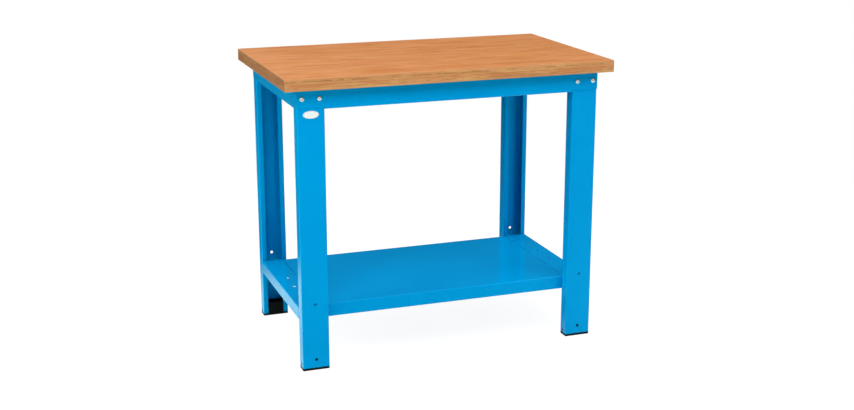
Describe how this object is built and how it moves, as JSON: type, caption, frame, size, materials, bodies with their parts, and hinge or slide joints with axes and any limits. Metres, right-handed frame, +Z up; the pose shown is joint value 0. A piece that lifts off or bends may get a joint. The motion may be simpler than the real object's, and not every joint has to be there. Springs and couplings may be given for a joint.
{
  "type": "assembly table",
  "caption": "Workshop table with a thick wooden worktop on a bolted frame of folded blue sheet steel, open channel legs on plastic foot caps, and a lower storage shelf.",
  "frame": {"origin": "on the floor, under the middle of the worktop", "axes": "+X along the width to the right as seen from the front, +Y from the front to the back, +Z up"},
  "size_m": [1, 0.6, 0.865],
  "materials": {
    "worktop_wood": "clear-lacquered glued beech, grain along the width, layered edge",
    "blue_paint": "glossy light blue powder coat on folded sheet steel",
    "foot_plastic": "black moulded polypropylene, fine texture",
    "zinc_fastener": "bright zinc plating",
    "badge_enamel": "white enamel, blank"
  },
  "bodies": {
    "root": {"table_top": "worktop_wood", "leg_front_left": "blue_paint", "leg_front_right": "blue_paint", "leg_rear_left": "blue_paint", "leg_rear_right": "blue_paint", "front_beam": "blue_paint", "rear_beam": "blue_paint", "top_rail_left": "blue_paint", "top_rail_right": "blue_paint", "lower_rail_left": "blue_paint", "lower_rail_right": "blue_paint", "lower_shelf": "blue_paint", "shelf_stiffener": "blue_paint", "foot_cap_front_left": "foot_plastic", "foot_cap_front_right": "foot_plastic", "foot_cap_rear_left": "foot_plastic", "foot_cap_rear_right": "foot_plastic", "bolt_front_1": "zinc_fastener", "bolt_front_2": "zinc_fastener", "bolt_front_3": "zinc_fastener", "bolt_front_4": "zinc_fastener", "bolt_rear_1": "zinc_fastener", "bolt_rear_2": "zinc_fastener", "bolt_rear_3": "zinc_fastener", "bolt_rear_4": "zinc_fastener", "nut_front_1": "zinc_fastener", "nut_front_2": "zinc_fastener", "nut_front_3": "zinc_fastener", "nut_front_4": "zinc_fastener", "nut_rear_1": "zinc_fastener", "nut_rear_2": "zinc_fastener", "nut_rear_3": "zinc_fastener", "nut_rear_4": "zinc_fastener", "top_screw_1": "zinc_fastener", "top_screw_2": "zinc_fastener", "top_screw_3": "zinc_fastener", "top_screw_4": "zinc_fastener", "top_screw_5": "zinc_fastener", "top_screw_6": "zinc_fastener", "top_screw_7": "zinc_fastener", "top_screw_8": "zinc_fastener", "badge_plate": "badge_enamel"}
  },
  "joints": []
}
